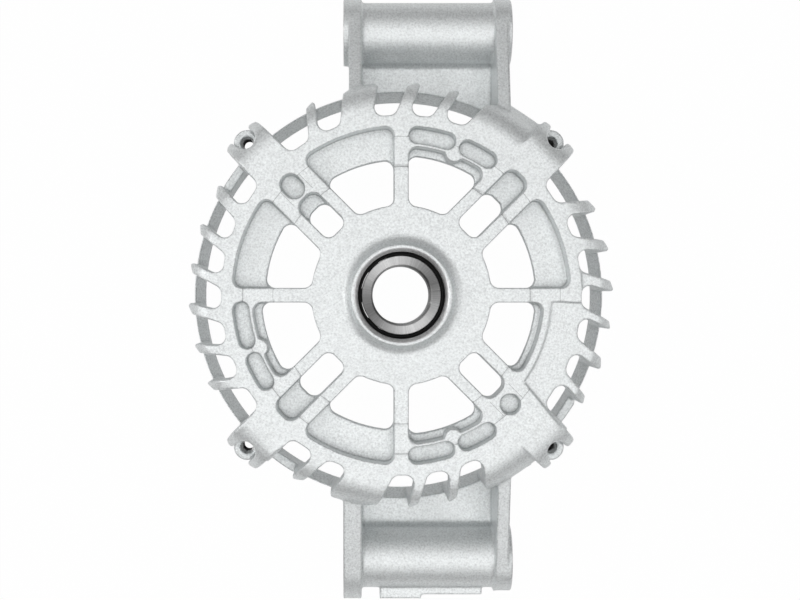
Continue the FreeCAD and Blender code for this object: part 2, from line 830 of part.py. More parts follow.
def make_lug(name, side, left_boss, left_start, left_thickness):
    """A channel lug: side plates, a bored boss between them and a thin web behind."""
    left, right = value(left_start), value("plate_right")
    right_start = "plate_right - plate_thickness"
    offset, top = value("lug_offset") * side, value("web_top")
    pieces = [
        side_rod(name + "_boss", side, "lug_radius", "lug_left", "lug_right - lug_left"),
        side_rod(name + "_left_disc", side, "lug_boss", "lug_left", "plate_thickness"),
        side_rod(name + "_right_disc", side, "lug_boss", "lug_right - plate_thickness",
                 "plate_thickness"),
        side_piece(name + "_left_plate", lug_outline(side, left_boss, left), left_start,
                   left_thickness),
        side_piece(name + "_right_plate", lug_outline(side, "lug_boss", right), right_start,
                   "plate_thickness"),
    ]
    foot, crease = plate_foot(right) * side, offset - side * value("lug_radius - web_sink")
    low, height = value("web_base"), value("lug_height")
    web = side_piece(name + "_web", rounded([
        (foot, low, None), (offset, low, None), (offset, height, None), (crease, height, None),
        (crease, top, "web_fillet"), (foot, top, None)]), left_start, "plate_right - (%s)" % left_start)
    pieces.append(cut(name + "_sloped_web", web, turn_section(name + "_sill", [
        ("0", "sill_base - sill_edge"),
        ("shell_bore - sill_edge", "sill_base - sill_edge"),
        ("shell_radius - sill_edge", "ring_height"),
        ("shell_radius - sill_edge", "ring_height + web_thickness"),
        ("0", "ring_height + web_thickness"),
    ])))
    pieces.append(make_gusset(name, side))
    if side < 0:
        pieces += make_lands()
    fillets = make_lug_fillets(name, side, value("%s + %s" % (left_start, left_thickness)),
                               value(right_start))
    return fuse(name + "_lug", [fuse(name + "_lug_forms", pieces)] + fillets)


def make_lands():
    """Flat lands along the far side of the lower boss."""
    lands = []
    under = value("lug_offset + lug_radius / 2")
    for number, (start, end, stand) in enumerate(LANDS, start=1):
        outer = value("lug_offset + lug_radius") + stand
        outline = rounded([(start, -under, None), (end, -under, None),
                           (end, -outer, None), (start, -outer, None)])
        lands.append(prism("lower_land_%d" % number, outline, "lug_height - land_height / 2",
                           "land_height"))
    return lands


def make_lugs():
    return [
        make_lug("upper", 1, "lug_boss", "plate_left", "plate_thickness"),
        make_lug("lower", -1, "lug_long_boss", "lug_left", "plate_thickness + disc_stand"),
    ]


def make_windows():
    """Cored windows between the spokes: a wide pocket in front, a smaller way through behind."""
    endings = {"plain": "core_radius", "ovals": "oval_wall_radius", "narrow": "narrow_core_radius"}
    pieces = []
    core_base, core_length = "face_height - core_depth", "core_depth + 1"
    base, through = "hub_base - 1", "hub_length + 2"
    for number, (spoke, bar, ending) in enumerate(WINDOWS, start=1):
        (low, low_half), (high, high_half) = sorted([(spoke, "spoke_half"), (bar, "bar_outer")])
        sides = (low, low_half, high, high_half)
        core = prism("core_%d" % number, sector(*sides, "hub_radius", endings[ending], "corner_radius"),
                     core_base, core_length)
        if ending == "ovals":
            neck = OVALS[spoke, bar][1]
            post = add_cylinder("neck_%d" % number, polar(value("neck_place"), neck), "neck_radius",
                                core_base, core_length)
            core = cut("necked_core_%d" % number, core, post)
        shelf = "wide_shelf_radius" if ending == "ovals" else "shelf_radius"
        pieces += [core, prism("window_%d" % number,
                               sector(*sides, "hub_radius", shelf, "corner_radius"), base, through)]
    slots = (
        (45.0, "core_radius", "shelf_radius"),
        (135.0, "short_slot_end", "short_window_end"),
        (225.0, "core_radius", "shelf_radius"),
        (315.0, "short_slot_end", "short_slot_end"),
    )
    for number, (angle, core_end, window_end) in enumerate(slots, start=1):
        for name, end, low, length in (("slot", core_end, core_base, core_length),
                                       ("slot_window", window_end, base, through)):
            outline = radial_slot(angle, "slot_half", "hub_radius", end, "slot_corner", "slot_tip")
            pieces.append(prism("%s_%d" % (name, number), outline, low, length))
    return pieces


def make_face_details():
    """Blind ovals in the rim, the lowered panel, the shallow step ring and one dimple."""
    pieces = []
    oval_base = "face_height - oval_depth"
    for number, (start, neck, end) in enumerate(OVALS.values(), start=1):
        gap = math.copysign(value("neck_gap"), start - end) / 2
        for place, first, last in (("spoke", start, neck + gap), ("bar", neck - gap, end)):
            pieces.append(prism("%s_oval_%d" % (place, number),
                                curved_slot(first, last, "oval_inner", "core_radius"),
                                oval_base, "oval_depth + 1"))
    pieces.append(prism("blind_oval", straight_slot(135.0, "blind_half", "blind_start", "blind_end"),
                        oval_base, "oval_depth + 1"))
    pieces.append(add_cylinder("dimple", polar(value("dimple_place"), 315.0), "dimple_radius",
                               "face_height - dimple_depth", "dimple_depth + 1"))
    beyond = value("shell_radius + notch_overrun")
    root, inner = value("notch_root"), value("panel_inner")
    rim_start, start, step, high = PANEL_ANGLES
    pieces.append(prism("panel", [
        arc((0, 0), beyond, rim_start, high),
        line(polar(beyond, high), polar(root, high)),
        arc((0, 0), root, high, step, "notch_root", True),
        line(polar(root, step), polar(inner, step)),
        arc((0, 0), inner, step, start, "panel_inner", True),
        line(polar(inner, start), polar(beyond, rim_start)),
    ], "face_height - panel_drop", "panel_drop + 1"))
    step_base = "face_height - step_drop"
    pieces.append(cut("step_ring",
                      add_cylinder("step_outside", (0, 0), "step_outer", step_base, "step_drop + 1"),
                      add_cylinder("step_inside", (0, 0), "step_inner", step_base, "step_drop + 1")))
    return pieces


def make_holes():
    """Ear notches and bolt holes, lug bores and the tapped holes for the retainer screws."""
    pieces = []
    for number, angle in enumerate(EAR_ANGLES, start=1):
        pieces += [
            prism("ear_notch_%d" % number,
                  straight_slot(angle, "ear_slot_half", "ear_slot_start",
                                "ear_reach + 3 * ear_slot_half"),
                  "ear_pad_height", "face_height - ear_pad_height + 1"),
            add_cylinder("ear_bolt_%d" % number, polar(value("bolt_circle"), angle), "ear_bolt_radius",
                         "0 - 1", "ear_pad_height + 2"),
        ]
    for name, side in (("upper", 1), ("lower", -1)):
        pieces.append(side_rod(name + "_bore", side, "lug_bore", "lug_left - 1",
                               "lug_right - lug_left + 2"))
    for number, angle in enumerate(SPOKE_ANGLES, start=1):
        pieces.append(add_cylinder("screw_hole_%d" % number, polar(value("screw_circle"), angle),
                                   "screw_radius + screw_play", "hub_base",
                                   "screw_depth + screw_spare"))
    return pieces


def make_outer_ring():
    body = make_body("bearing_outer_ring")
    seat = "outer_shoulder + seal_seat"
    deep = "seal_recess + seal_thickness"
    revolve(body, section_sketch(body, "outer_ring_section", [
        (seat, "hub_base"),
        ("bearing_radius - bearing_chamfer", "hub_base"),
        ("bearing_radius", "hub_base + bearing_chamfer"),
        ("bearing_radius", "bearing_top - bearing_chamfer"),
        ("bearing_radius - bearing_chamfer", "bearing_top"),
        (seat, "bearing_top"),
        (seat, "bearing_top - %s" % deep.replace("+", "-")),
        ("outer_shoulder", "bearing_top - %s" % deep.replace("+", "-")),
        ("outer_shoulder", "hub_base + " + deep),
        (seat, "hub_base + " + deep),
    ]), "outer_ring")
    cut_race(body, "ball_circle + ball_radius + race_clearance - ball_radius * groove_ratio")
    return body


def make_inner_ring():
    body = make_body("bearing_inner_ring")
    revolve(body, section_sketch(body, "inner_ring_section", [
        ("bearing_bore + bearing_chamfer", "hub_base"),
        ("inner_shoulder - seal_clearance", "hub_base"),
        ("inner_shoulder", "hub_base + seal_clearance"),
        ("inner_shoulder", "bearing_top - seal_clearance"),
        ("inner_shoulder - seal_clearance", "bearing_top"),
        ("bearing_bore + bearing_chamfer", "bearing_top"),
        ("bearing_bore", "bearing_top - bearing_chamfer"),
        ("bearing_bore", "hub_base + bearing_chamfer"),
    ]), "inner_ring")
    cut_race(body, "ball_circle - ball_radius - race_clearance + ball_radius * groove_ratio")
    return body


def cut_race(body, centre):
    """A round groove that the balls run in."""
    sketch = make_sketch(body, "race_outline", "XZ_Plane")
    add_circle(sketch, (value(centre), value("bearing_middle")), "ball_radius * groove_ratio")
    feature = body.newObject("PartDesign::Groove", "race")
    feature.Profile = sketch
    feature.ReferenceAxis = (sketch, ["V_Axis"])
    feature.Angle = 360.0
    body.Tip = feature


def make_seal(name, base):
    body = make_body(name)
    revolve(body, section_sketch(body, name + "_section", [
        ("inner_shoulder + seal_clearance", base),
        ("outer_shoulder + seal_seat", base),
        ("outer_shoulder + seal_seat", base + " + seal_thickness"),
        ("inner_shoulder + seal_clearance", base + " + seal_thickness"),
    ]), name + "_disc")
    return body


def make_retainer():
    """Steel plate under the hub that keeps the outer ring in its pocket, with a lobe at each screw."""
    body = make_body("bearing_retainer_plate")
    base = "hub_base - retainer_thickness"
    disc = make_sketch(body, "disc_outline", height=base)
    add_circle(disc, (0, 0), "retainer_radius")
    pad(body, disc, "disc", "retainer_thickness")
    lobes = make_sketch(body, "lobe_outlines", height=base)
    for angle in SPOKE_ANGLES:
        add_circle(lobes, polar(value("screw_circle"), angle), "retainer_lobe")
    pad(body, lobes, "lobes", "retainer_thickness")
    holes = make_sketch(body, "hole_outlines", height="hub_base")
    add_circle(holes, (0, 0), "retainer_hole")
    for angle in SPOKE_ANGLES:
        add_circle(holes, polar(value("screw_circle"), angle), "screw_radius + screw_play")
    pocket(body, holes, "holes", "retainer_thickness")
    return body


def make_screws():
    """Four pan-head screws: head under the plate, shank up into the hub, socket in the head."""
    head_top = "hub_base - retainer_thickness"
    solids = []
    for number, angle in enumerate(SPOKE_ANGLES, start=1):
        place = polar(value("screw_circle"), angle)
        head = add_cylinder("screw_head_%d" % number, place, "screw_head_radius",
                            head_top + " - screw_head_height", "screw_head_height")
        shank = add_cylinder("screw_shank_%d" % number, place, "screw_radius",
                             head_top, "retainer_thickness + screw_depth")
        socket = add_cylinder("screw_socket_%d" % number, place, "socket_radius",
                              head_top + " - screw_head_height", "screw_head_height / 2")
        solids.append(cut("screw_%d" % number, fuse("screw_blank_%d" % number, [head, shank]), socket))
    return group("retainer_screws", solids)


def ball_angles():
    count = int(value("ball_count"))
    return [360.0 * index / count for index in range(count)]


def make_balls():
    balls = []
    for number, angle in enumerate(ball_angles(), start=1):
        ball = add_sphere("ball_%d" % number, angle, "ball_radius")
        ball.Label = "ball_%d" % number
        balls.append(ball)
    return balls


def make_cage_half(name, side):
    """Half of a pressed ribbon cage: a flat ring with a cup over each ball, above or below the balls."""
    base = "bearing_middle" if side > 0 else "bearing_middle - cage_sheet"
    depth = "ball_radius + cage_clearance + cage_sheet"
    flat = add_cylinder(name + "_flat", (0, 0), "cage_outer", base, "cage_sheet")
    cups = [add_sphere("%s_cup_%d" % (name, n), a, depth) for n, a in enumerate(ball_angles(), start=1)]
    space_base = "bearing_middle" if side > 0 else "%s - (%s)" % ("bearing_middle", depth)
    outer = add_cylinder(name + "_space", (0, 0), "cage_outer", space_base, depth)
    inner = add_cylinder(name + "_bore", (0, 0), "cage_inner", space_base, depth)
    blank = common(name + "_blank", [fuse(name + "_cups", [flat] + cups), cut(name + "_band", outer, inner)])
    balls = [add_sphere("%s_ball_space_%d" % (name, n), a, "ball_radius + cage_clearance")
             for n, a in enumerate(ball_angles(), start=1)]
    holes = [add_cylinder("%s_hole_%d" % (name, n), polar(value("ball_circle"), a), "rivet_radius",
                          base, "cage_sheet") for n, a in enumerate(rivet_angles(), start=1)]
    half = cut(name, blank, fuse(name + "_spaces", balls + holes))
    half.Label = name
    return half


def rivet_angles():
    step = 360.0 / int(value("ball_count"))
    return [angle + step / 2 for angle in ball_angles()]


def make_rivets():
    rivets = []
    for number, angle in enumerate(rivet_angles(), start=1):
        place = polar(value("ball_circle"), angle)
        shank = add_cylinder("rivet_shank_%d" % number, place, "rivet_radius",
                             "bearing_middle - cage_sheet", "2 * cage_sheet")
        heads = [add_cylinder("rivet_head_%d_%d" % (number, end), place, "rivet_head_radius", base,
                              "rivet_head_height")
                 for end, base in ((1, "bearing_middle + cage_sheet"),
                                   (2, "bearing_middle - cage_sheet - rivet_head_height"))]
        rivets.append(fuse("rivet_%d" % number, [shank] + heads))
    return group("cage_rivets", rivets)


def write_parts(parts):
    doc.recompute()
    for item in doc.Objects:
        if "Invalid" in item.State or "Error" in item.State:
            raise RuntimeError("%s did not build: %s" % (item.Label, item.State))
    for part in parts:
        if part.Shape.isNull() or not part.Shape.isValid():
            raise RuntimeError("%s has no valid shape" % part.Label)
    os.makedirs("parts", exist_ok=True)
    for part in parts:
        part.Shape.exportStep("parts/%s.step" % part.Label)
        print("%-24s %9.1f mm3, %d solids" % (part.Label, part.Shape.Volume, len(part.Shape.Solids)))


write_parts([
    make_bracket(),
    make_outer_ring(),
    make_inner_ring(),
    make_seal("bearing_front_seal", "bearing_top - seal_recess - seal_thickness"),
    make_seal("bearing_rear_seal", "hub_base + seal_recess"),
    make_cage_half("cage_front", 1),
    make_cage_half("cage_rear", -1),
    make_rivets(),
    make_retainer(),
    make_screws(),
] + make_balls())
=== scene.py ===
import bpy
import math
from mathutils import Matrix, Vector


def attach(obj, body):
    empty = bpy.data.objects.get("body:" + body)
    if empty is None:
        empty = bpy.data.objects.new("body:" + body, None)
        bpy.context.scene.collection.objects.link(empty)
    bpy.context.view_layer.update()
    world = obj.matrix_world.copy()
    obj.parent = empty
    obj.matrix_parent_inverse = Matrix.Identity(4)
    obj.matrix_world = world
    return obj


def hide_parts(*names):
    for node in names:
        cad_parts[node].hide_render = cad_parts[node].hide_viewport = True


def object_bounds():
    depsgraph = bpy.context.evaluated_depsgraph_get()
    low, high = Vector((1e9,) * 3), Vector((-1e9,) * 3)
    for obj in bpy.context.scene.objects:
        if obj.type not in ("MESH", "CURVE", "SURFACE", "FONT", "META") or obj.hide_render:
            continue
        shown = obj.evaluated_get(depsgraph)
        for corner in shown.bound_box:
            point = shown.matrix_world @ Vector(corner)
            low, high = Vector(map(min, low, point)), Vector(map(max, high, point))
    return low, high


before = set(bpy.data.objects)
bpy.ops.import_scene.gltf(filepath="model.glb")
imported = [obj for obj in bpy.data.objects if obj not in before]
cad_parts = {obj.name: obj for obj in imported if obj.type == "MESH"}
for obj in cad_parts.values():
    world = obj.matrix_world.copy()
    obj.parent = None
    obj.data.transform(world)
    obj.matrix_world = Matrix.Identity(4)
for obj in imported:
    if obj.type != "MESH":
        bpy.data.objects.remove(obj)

# alternator drive end bracket with its bearing, seen straight into the hub face
cadBox = [list(corner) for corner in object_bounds()]
mm = 0.001
sameCorner = 0.001 * mm    # corners closer than this are one


def selectNothing():
    if bpy.context.object and bpy.context.object.mode != "OBJECT":
        bpy.ops.object.mode_set(mode="OBJECT")
    bpy.ops.object.select_all(action="DESELECT")


def makeActive(piece):
    selectNothing()
    piece.select_set(True)
    bpy.context.view_layer.objects.active = piece


def copyOfNode(nodeName, pieceName):
    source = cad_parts[nodeName]
    piece = bpy.data.objects.new(pieceName, source.data.copy())
    bpy.context.scene.collection.objects.link(piece)
    piece.data.materials.clear()
    makeActive(piece)
    bpy.ops.object.mode_set(mode="EDIT")
    bpy.ops.mesh.select_all(action="SELECT")
    bpy.ops.mesh.remove_doubles(threshold=sameCorner)
    bpy.ops.object.mode_set(mode="OBJECT")
    return piece


def applyModifier(piece, kind, **settings):
    makeActive(piece)
    modifier = piece.modifiers.new(kind.title(), kind)
    for name, setting in settings.items():
        setattr(modifier, name, setting)
    bpy.ops.object.modifier_apply(modifier=modifier.name)


# camera, floor and light

view = {
    "hubPixel": (401.5, 295.2),   # where the shaft axis meets the hub face in the photograph
    "pixelsPerMetre": 3400.0,     # at the hub face
    "distance": 0.450,            # from the hub face to the lens
    "aside": (-0.0143, 0.0010),   # the lens stands a little left of the axis
    "faceHeight": 0.038,
    "imageSize": (800.0, 600.0),
    "sensor": 36.0,
    "nearest": 0.01,              # nothing nearer to the lens is drawn
}


def placeCamera():
    width, height = view["imageSize"]
    x, y = view["aside"]
    data = bpy.data.cameras.new("camera")
    data.sensor_width = view["sensor"]
    data.lens = view["sensor"] * view["distance"] * view["pixelsPerMetre"] / width
    data.shift_x = (width / 2 - x * view["pixelsPerMetre"] - view["hubPixel"][0]) / width
    data.shift_y = (view["hubPixel"][1] - height / 2 - y * view["pixelsPerMetre"]) / width
    data.clip_start = view["nearest"]
    camera = bpy.data.objects.new("camera", data)
    camera.location = (x, y, view["faceHeight"] + view["distance"])
    bpy.context.scene.collection.objects.link(camera)
    bpy.context.scene.camera = camera
    print("camera placed, lens %.1f mm" % data.lens)


stage = {
    "size": 6.0,
    "gap": 0.2 * mm,          # between the floor and the rear face
    "colour": (0.80, 0.80, 0.80, 1.0),
    "white": (1.0, 1.0, 1.0, 1.0),
    "whiteShare": 0.985,      # of what the camera sees of the floor, the rest takes the shadow
    "mirroredShare": 0.30,    # how much of that white shows in the metal, so that the lugs stay shaded
}


def newMaterial(name):
    material = bpy.data.materials.new(name)
    material.use_nodes = True
    nodes = material.node_tree.nodes
    nodes.clear()
    output = nodes.new("ShaderNodeOutputMaterial")
    return material, nodes, material.node_tree.links, output


# how white the background is, to the eye, through glass and in the metal
def whereSeen(nodes, links):
    path = nodes.new("ShaderNodeLightPath")
    eye, glass = path.outputs["Is Camera Ray"], path.outputs["Is Transmission Ray"]
    metal = path.outputs["Is Glossy Ray"]
    through = mathNode(nodes, links, "MAXIMUM", eye, glass)
    mirrored = mathNode(nodes, links, "MULTIPLY", metal, stage["mirroredShare"])
    return mathNode(nodes, links, "MAXIMUM", through, mirrored)


def floorMaterial():
    material, nodes, links, output = newMaterial("paleFloor")
    diffuse = nodes.new("ShaderNodeBsdfDiffuse")
    diffuse.inputs["Color"].default_value = stage["colour"]
    white = nodes.new("ShaderNodeEmission")
    white.inputs["Color"].default_value = stage["white"]
    mix = nodes.new("ShaderNodeMixShader")
    seen = whereSeen(nodes, links)
    links.new(mathNode(nodes, links, "MULTIPLY", seen, stage["whiteShare"]), mix.inputs["Fac"])
    links.new(diffuse.outputs[0], mix.inputs[1])
    links.new(white.outputs[0], mix.inputs[2])
    links.new(mix.outputs[0], output.inputs["Surface"])
    return material


def placeStage():
    selectNothing()
    bpy.ops.mesh.primitive_plane_add(size=stage["size"], location=(0, 0, cadBox[0][2] - stage["gap"]))
    floor = bpy.context.object
    floor.name = "floor"
    floor.data.materials.append(floorMaterial())
    print("floor laid")


sky = {    # a white backdrop all round and a dim ceiling
    "strength": 0.20,
    "whiteWall": (0.10, 0.22),    # sine of the height where the one ends and the other starts
}

lamps = {    # place, aim, size, watts
    "overhead": ((0.00, -0.03, 1.00), (0, 0, 0), 0.90, 2.50),
    "frontBox": ((0.20, -0.55, 0.85), (0, 0, 0), 0.80, 1.6),
    "backBox": ((-0.20, 0.55, 0.85), (0, 0, 0), 0.80, 0.9),
    "leftWindow": ((-0.80, 0.00, 0.65), (0, 0, 0.02), 0.50, 2.4),
    "rightFill": ((0.80, 0.00, 0.60), (0, 0, 0.02), 0.50, 1.1),
}


def placeLights():
    world = bpy.data.worlds.new("paleStudio")
    world.use_nodes = True
    bpy.context.scene.world = world
    nodes, links = world.node_tree.nodes, world.node_tree.links
    nodes.clear()
    output = nodes.new("ShaderNodeOutputWorld")
    ceiling = nodes.new("ShaderNodeBackground")
    ceiling.inputs["Color"].default_value = stage["white"]
    ceiling.inputs["Strength"].default_value = sky["strength"]
    backdrop = nodes.new("ShaderNodeBackground")
    backdrop.inputs["Strength"].default_value = 1.0
    way = nodes.new("ShaderNodeTexCoord")
    split = nodes.new("ShaderNodeSeparateXYZ")
    links.new(way.outputs["Generated"], split.inputs[0])
    low = rangeNode(nodes, links, split.outputs["Z"], *sky["whiteWall"], 1.0, 0.0)
    mix = nodes.new("ShaderNodeMixShader")
    links.new(mathNode(nodes, links, "MULTIPLY", whereSeen(nodes, links), low), mix.inputs["Fac"])
    links.new(ceiling.outputs[0], mix.inputs[1])
    links.new(backdrop.outputs[0], mix.inputs[2])
    links.new(mix.outputs[0], output.inputs["Surface"])
    for name, (place, aim, size, watts) in lamps.items():
        data = bpy.data.lights.new(name, "AREA")
        data.shape = "SQUARE"
        data.size = size
        data.energy = watts
        lamp = bpy.data.objects.new(name, data)
        lamp.location = place
        lamp.rotation_euler = (Vector(aim) - Vector(place)).to_track_quat("-Z", "Y").to_euler()
        bpy.context.scene.collection.objects.link(lamp)
    print("lights placed")


# materials

def noiseNode(nodes, links, scale, detail=3.0, roughness=0.6):
    place = nodes.new("ShaderNodeTexCoord")
    noise = nodes.new("ShaderNodeTexNoise")
    noise.inputs["Scale"].default_value = scale
    noise.inputs["Detail"].default_value = detail
    noise.inputs["Roughness"].default_value = roughness
    links.new(place.outputs["Object"], noise.inputs["Vector"])
    return noise


def rampNode(nodes, links, source, stops):
    ramp = nodes.new("ShaderNodeValToRGB")
    links.new(source, ramp.inputs["Fac"])
    elements = ramp.color_ramp.elements
    while len(elements) < len(stops):
        elements.new(0.5)
    for element, (position, colour) in zip(elements, stops):
        element.position = position
        element.color = colour
    return ramp


def grey(level, cool=0.0):    # a cool grey lacks a little red
    return (level * (1 - cool), level, level * (1 + cool * 0.1), 1.0)


def mathNode(nodes, links, operation, *values):
    node = nodes.new("ShaderNodeMath")
    node.operation = operation
    for socket, value in zip(node.inputs, values):
        if isinstance(value, (int, float)):
            socket.default_value = value
        else:
            links.new(value, socket)
    return node.outputs[0]


def rangeNode(nodes, links, source, fromMin, fromMax, toMin, toMax):
    node = nodes.new("ShaderNodeMapRange")
    links.new(source, node.inputs["Value"])
    ends = {"From Min": fromMin, "From Max": fromMax, "To Min": toMin, "To Max": toMax}
    for name, value in ends.items():
        node.inputs[name].default_value = value
    return node.outputs[0]


def scaleNode(nodes, links, colour, factor):
    node = nodes.new("ShaderNodeVectorMath")
    node.operation = "SCALE"
    links.new(colour, node.inputs[0])
    links.new(factor, node.inputs["Scale"])
    return node.outputs[0]


def bumpNode(nodes, links, shader, height, strength, depth):
    node = nodes.new("ShaderNodeBump")
    node.inputs["Strength"].default_value = strength
    node.inputs["Distance"].default_value = depth
    links.new(height, node.inputs["Height"])
    links.new(node.outputs[0], shader.inputs["Normal"])


def closeTo(nodes, links, source, place, halfWidth):    # 1 at the place, 0 from a half width away
    away = mathNode(nodes, links, "ABSOLUTE", mathNode(nodes, links, "SUBTRACT", source, place))
    return rangeNode(nodes, links, away, 0.0, halfWidth, 1.0, 0.0)


castLook = {
    "dark": 0.69, "mid": 0.855, "light": 0.99,
    "cool": 0.028,
    "grainStops": (0.30, 0.50, 0.70),        # where in the noise the three greys stand
    "grainScale": 1700.0, "grainDetail": 2.0, "grainRoughness": 0.7,
    "metallic": 0.75,
    "roughness": (0.40, 0.52), "patchScale": 60.0,
    "bump": 0.85, "grainHeight": 0.12 * mm,
    "lineFloor": 37.4 * mm,                  # the painted step shade lines are on the front face, above this
    "stepRings": (37.85 * mm, 46.75 * mm),   # painted shade of fine steps across the spokes, as dark lines
    "slotEdge": 3.84 * mm,                   # and along the two closed diagonal bars
    "slotEdgeSpan": (40.9 * mm, 46.75 * mm),
    "lineHalf": 0.16 * mm,
    "lineDepth": 0.45,
    # painted shade: how far the colour is darkened in creases and along edges
    "creaseReach": 1.5 * mm, "creaseSpan": (0.35, 0.95), "creaseDepth": 0.52,
    "edgeReach": 0.40 * mm, "edgeSpan": (0.45, 0.95), "edgeDepth": 0.42,
    "reachSamples": 8,
}


# dark lines painted as the shade of small steps: two rings and the sides of the closed bars, on the
# front face only
def paintedStepShadeLines(nodes, links):
    place = nodes.new("ShaderNodeTexCoord")
    split = nodes.new("ShaderNodeSeparateXYZ")
    links.new(place.outputs["Object"], split.inputs[0])
    x, y, z = split.outputs

    def worked(operation, *values):
        return mathNode(nodes, links, operation, *values)

    half = castLook["lineHalf"]
    distance = worked("SQRT", worked("ADD", worked("MULTIPLY", x, x), worked("MULTIPLY", y, y)))
    rings = [closeTo(nodes, links, distance, radius, half) for radius in castLook["stepRings"]]
    across = worked("ABSOLUTE", worked("MULTIPLY", worked("ADD", x, y), math.sqrt(0.5)))
    side = closeTo(nodes, links, across, castLook["slotEdge"], half)
    low, high = castLook["slotEdgeSpan"]
    side = worked("MULTIPLY", side, worked("GREATER_THAN", distance, low))
    side = worked("MULTIPLY", side, worked("LESS_THAN", distance, high))
    lines = worked("MAXIMUM", worked("MAXIMUM", *rings), side)
    return worked("MULTIPLY", lines, worked("GREATER_THAN", z, castLook["lineFloor"]))


# painted shade: 1 in the open, less in a crease or, seen from inside, along an edge, where the colour
# is darkened
def paintedShadeFactor(nodes, links, kind, inside):
    node = nodes.new("ShaderNodeAmbientOcclusion")
    node.samples = castLook["reachSamples"]
    node.inside = inside
    node.only_local = True
    node.inputs["Distance"].default_value = castLook[kind + "Reach"]
    low, high = castLook[kind + "Span"]
    return rangeNode(nodes, links, node.outputs["AO"], low, high, 1.0 - castLook[kind + "Depth"], 1.0)


def castMaterial():
    material, nodes, links, output = newMaterial("shotBlastedAluminium")
    shader = nodes.new("ShaderNodeBsdfPrincipled")
    shader.inputs["Metallic"].default_value = castLook["metallic"]
    grain = noiseNode(nodes, links, castLook["grainScale"], castLook["grainDetail"],
                      castLook["grainRoughness"])
    greys = [grey(castLook[tone], castLook["cool"]) for tone in ("dark", "mid", "light")]
    colour = rampNode(nodes, links, grain.outputs["Fac"], list(zip(castLook["grainStops"], greys)))
    # painted shade of the small steps, as dark lines in the colour
    lines = mathNode(nodes, links, "MULTIPLY", paintedStepShadeLines(nodes, links), castLook["lineDepth"])
    shade = mathNode(nodes, links, "SUBTRACT", 1.0, lines)
    # painted shade: the colour is darkened in creases and along edges
    for kind, inside in (("crease", False), ("edge", True)):
        shade = mathNode(nodes, links, "MULTIPLY", shade, paintedShadeFactor(nodes, links, kind, inside))
    links.new(scaleNode(nodes, links, colour.outputs["Color"], shade), shader.inputs["Base Color"])
    patches = noiseNode(nodes, links, castLook["patchScale"])
    rough = rangeNode(nodes, links, patches.outputs["Fac"], 0.0, 1.0, *castLook["roughness"])
    links.new(rough, shader.inputs["Roughness"])
    bumpNode(nodes, links, shader, grain.outputs["Fac"], castLook["bump"], castLook["grainHeight"])
    links.new(shader.outputs[0], output.inputs["Surface"])
    return material


turnedLook = {
    "dark": 0.28, "light": 0.42, "stops": (0.38, 0.62),
    "roughness": (0.384, 0.256), "roughSpan": (0.3, 0.7),
    "anisotropy": 0.95, "turn": 0.25,
    "streaks": 60.0, "streakDetail": 5.0, "streakRoughness": 0.7,
    "flatten": (1000.0, 1000.0, 0.0),    # only the direction from the axis counts for the streaks
    "paintedHighlightAngle": math.radians(113.0),     # painted highlight: the colour is brighter this way and opposite
    "paintedHighlightShade": (0.50, 1.55),
}


# ground on a lathe: fine radial streaks, and a highlight painted into the colour that fans out from
# the axis
def turnedSteel(name):
    material, nodes, links, output = newMaterial(name)
    shader = nodes.new("ShaderNodeBsdfPrincipled")
    shader.inputs["Metallic"].default_value = 1.0
    shader.inputs["Anisotropic"].default_value = turnedLook["anisotropy"]
    shader.inputs["Anisotropic Rotation"].default_value = turnedLook["turn"]
    around = nodes.new("ShaderNodeTangent")
    around.direction_type = "RADIAL"
    around.axis = "Z"
    links.new(around.outputs[0], shader.inputs["Tangent"])
    place = nodes.new("ShaderNodeTexCoord")
    flat = nodes.new("ShaderNodeMapping")
    flat.inputs["Scale"].default_value = turnedLook["flatten"]
    outward = nodes.new("ShaderNodeVectorMath")
    outward.operation = "NORMALIZE"
    streaks = nodes.new("ShaderNodeTexNoise")
    streaks.inputs["Scale"].default_value = turnedLook["streaks"]
    streaks.inputs["Detail"].default_value = turnedLook["streakDetail"]
    streaks.inputs["Roughness"].default_value = turnedLook["streakRoughness"]
    links.new(place.outputs["Object"], flat.inputs["Vector"])
    links.new(flat.outputs[0], outward.inputs[0])
    links.new(outward.outputs[0], streaks.inputs["Vector"])
    greys = (grey(turnedLook["dark"]), grey(turnedLook["light"]))
    colour = rampNode(nodes, links, streaks.outputs["Fac"], list(zip(turnedLook["stops"], greys)))
    # painted highlight: the colour is scaled up along this angle and its opposite, down across it
    along = nodes.new("ShaderNodeVectorMath")
    along.operation = "DOT_PRODUCT"
    paintedHighlightAngle = turnedLook["paintedHighlightAngle"]
    along.inputs[1].default_value = (math.cos(paintedHighlightAngle), math.sin(paintedHighlightAngle), 0.0)
    links.new(outward.outputs[0], along.inputs[0])
    squared = mathNode(nodes, links, "MULTIPLY", along.outputs["Value"], along.outputs["Value"])
    fan = rangeNode(nodes, links, squared, 0.0, 1.0, *turnedLook["paintedHighlightShade"])
    links.new(scaleNode(nodes, links, colour.outputs["Color"], fan), shader.inputs["Base Color"])
    rough = rangeNode(nodes, links, streaks.outputs["Fac"], *turnedLook["roughSpan"],
                      *turnedLook["roughness"])
    links.new(rough, shader.inputs["Roughness"])
    links.new(shader.outputs[0], output.inputs["Surface"])
    return material


metals = {    # grey level, roughness, scale of the marks, coolness
    "machinedAluminium": (0.82, 0.40, 1200.0, 0.0),
    # painted shade: the thread's grey is set darker than the machined aluminium, for the shade inside
    # the tapped holes
    "shadedTappedThread": (0.42, 0.36, 900.0, 0.0),
    "ballSteel": (0.78, 0.08, 300.0, 0.0),
    "cageSteel": (0.50, 0.35, 700.0, 0.0),
    "platedSteel": (0.66, 0.30, 500.0, 0.03),
}

marksLook = {
    "detail": 4.0,
    "stops": (0.35, 0.65), "levels": (0.85, 1.1),    # of the metal's grey
    "roughness": (0.7, 1.3),                         # of the metal's roughness
    "bump": 0.08, "depth": 0.05 * mm,
}


